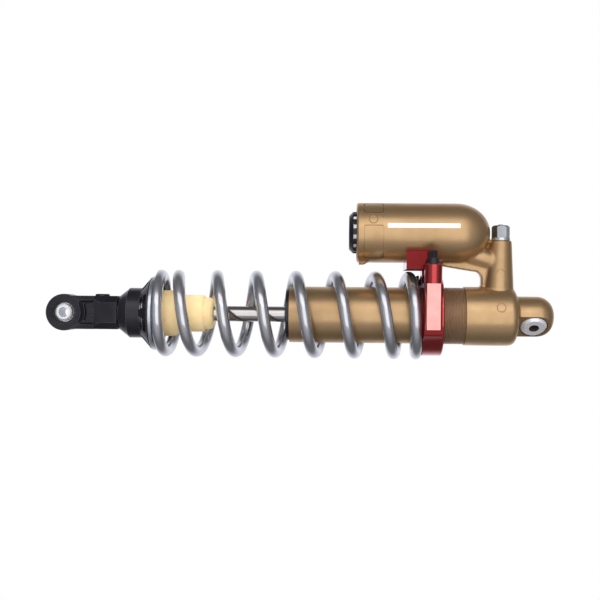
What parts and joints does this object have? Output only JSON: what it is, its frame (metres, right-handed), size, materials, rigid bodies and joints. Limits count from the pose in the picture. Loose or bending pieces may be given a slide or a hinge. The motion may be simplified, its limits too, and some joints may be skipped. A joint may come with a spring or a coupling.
{
  "type": "motorcycle shock absorber",
  "caption": "Coil-over motorcycle shock absorber with a piggyback reservoir, a worm-driven preload ring, spherical bearings in both eyes and a foam bump stop.",
  "frame": {"origin": "centre of the upper eye's spherical bearing", "axes": "+X from the lower eye to the upper eye along the damper, +Z from the damper's axis to the reservoir, so the preload worm is on the -Y side"},
  "size_m": [0.5201, 0.0928, 0.16],
  "materials": {
    "bronze_anodised": "bead-blasted and anodised bronze, satin",
    "black_anodised": "black anodised, satin",
    "red_anodised": "deep red anodised, glossy",
    "silver_anodised": "clear anodised, satin",
    "plain_steel": "machined steel",
    "black_steel": "blackened steel",
    "hard_chrome": "polished hard chrome",
    "spring_paint": "grey powder coat, satin",
    "black_rubber": "moulded rubber",
    "cream_foam": "cream foam, matte",
    "bearing_band": "filled bearing plastic",
    "bush_bronze": "machined",
    "blue_washer": "dark blue low-friction plastic"
  },
  "bodies": {
    "damper_body": {"head_casting": "bronze_anodised", "damper_tube": "bronze_anodised", "tube_seal": "black_rubber", "seal_head": "silver_anodised", "seal_head_ring": "black_rubber", "seal_head_circlip": "plain_steel", "guide_bush": "bush_bronze", "rod_seal": "black_rubber", "dust_cap": "black_anodised", "dust_wiper": "black_rubber", "reservoir_cap": "black_anodised", "reservoir_cap_ring": "black_rubber", "reservoir_circlip": "plain_steel", "gas_valve": "bush_bronze", "valve_body": "silver_anodised", "valve_ring": "black_rubber", "valve_piston": "silver_anodised", "upper_race": "plain_steel", "upper_circlips": "black_steel", "upper_seals": "black_rubber"},
    "upper_ball": {"upper_ball": "hard_chrome"},
    "upper_sleeves": {"upper_sleeves": "plain_steel"},
    "high_speed_adjuster": {"high_speed_adjuster": "silver_anodised"},
    "low_speed_adjuster": {"low_speed_adjuster": "silver_anodised"},
    "floating_piston": {"floating_piston": "silver_anodised", "floating_piston_band": "bearing_band", "floating_piston_ring": "black_rubber"},
    "preload_housing": {"preload_housing": "red_anodised", "preload_cover": "red_anodised", "cover_screws": "plain_steel", "anti_rotation_block": "red_anodised", "block_screws": "plain_steel", "thrust_washer": "plain_steel", "worm_bushes": "bush_bronze"},
    "preload_nut": {"preload_nut": "plain_steel"},
    "preload_worm": {"preload_worm": "black_steel"},
    "spring_carriage": {"spring_retainer": "black_anodised", "seat_ring": "silver_anodised", "slip_washer": "blue_washer", "main_spring": "spring_paint"},
    "rod_group": {"piston_rod": "hard_chrome", "lower_clevis": "black_anodised", "bump_stop": "cream_foam", "bump_washer": "plain_steel", "topout_bumper": "black_rubber", "main_piston": "silver_anodised", "piston_band": "bearing_band", "compression_shims": "plain_steel", "rebound_shims": "plain_steel", "piston_nut": "plain_steel", "lower_race": "plain_steel", "lower_circlips": "black_steel", "lower_seals": "black_rubber"},
    "lower_ball": {"lower_ball": "hard_chrome"},
    "lower_sleeves": {"lower_sleeves": "plain_steel"},
    "rebound_adjuster": {"rebound_adjuster": "black_anodised"},
    "rebound_rod": {"rebound_rod": "silver_anodised"}
  },
  "joints": [
    {"name": "rod_slide", "type": "slide", "parent": "damper_body", "child": "spring_carriage", "axis": [1, 0, 0], "range_m": [0, 0.11], "stiffness_N_per_m": 48000, "springref_m": -0.008, "deforming": ["main_spring", "bump_stop"]},
    {"name": "rod_swivel", "type": "hinge", "parent": "spring_carriage", "child": "rod_group", "pos_m": [0, 0, 0], "axis": [1, 0, 0], "continuous": true},
    {"name": "lower_ball_tilt", "type": "hinge", "parent": "rod_group", "child": "lower_ball", "pos_m": [-0.48, 0, 0], "axis": [1, 0, 0], "range_deg": [-6, 6]},
    {"name": "lower_sleeve_spin", "type": "hinge", "parent": "lower_ball", "child": "lower_sleeves", "pos_m": [-0.48, 0, 0], "axis": [0, 1, 0], "continuous": true},
    {"name": "upper_ball_tilt", "type": "hinge", "parent": "damper_body", "child": "upper_ball", "pos_m": [0, 0, 0], "axis": [1, 0, 0], "range_deg": [-3, 3]},
    {"name": "upper_sleeve_spin", "type": "hinge", "parent": "upper_ball", "child": "upper_sleeves", "pos_m": [0, 0, 0], "axis": [0, -0.6756, -0.7373], "continuous": true},
    {"name": "nut_spin", "type": "hinge", "parent": "preload_housing", "child": "preload_nut", "pos_m": [0, 0, 0], "axis": [1, 0, 0], "range_deg": [-1440, 1440]},
    {"name": "preload_slide", "type": "slide", "parent": "damper_body", "child": "preload_housing", "axis": [1, 0, 0], "range_m": [-0.006, 0.006]},
    {"name": "worm_spin", "type": "hinge", "parent": "preload_housing", "child": "preload_worm", "pos_m": [-0.1042, -0.038, 0], "axis": [0, 0, 1], "range_deg": [-31680, 31680]},
    {"name": "high_speed_turn", "type": "hinge", "parent": "damper_body", "child": "high_speed_adjuster", "pos_m": [-0.0325, 0, 0.0803], "axis": [0, 0, 1], "range_deg": [-360, 360]},
    {"name": "low_speed_turn", "type": "hinge", "parent": "damper_body", "child": "low_speed_adjuster", "pos_m": [-0.0325, 0, 0.0803], "axis": [0, 0, 1], "range_deg": [-360, 360]},
    {"name": "floating_piston_slide", "type": "slide", "parent": "damper_body", "child": "floating_piston", "axis": [1, 0, 0], "range_m": [-0.0105, 0.0005]},
    {"name": "rebound_turn", "type": "hinge", "parent": "rod_group", "child": "rebound_adjuster", "pos_m": [-0.4424, 0, 0.0172], "axis": [0, 0, 1], "range_deg": [-720, 0]},
    {"name": "rebound_rod_slide", "type": "slide", "parent": "rod_group", "child": "rebound_rod", "axis": [1, 0, 0], "range_m": [0, 0.0015]}
  ],
  "couplings": [
    {"joint": "preload_slide", "follows": "nut_spin", "m_per_rad": 0.00023873},
    {"joint": "worm_spin", "follows": "nut_spin", "ratio": 22},
    {"joint": "floating_piston_slide", "follows": "rod_slide", "ratio": -0.087791},
    {"joint": "rebound_turn", "follows": "rebound_rod_slide", "rad_per_m": -8377.6}
  ]
}
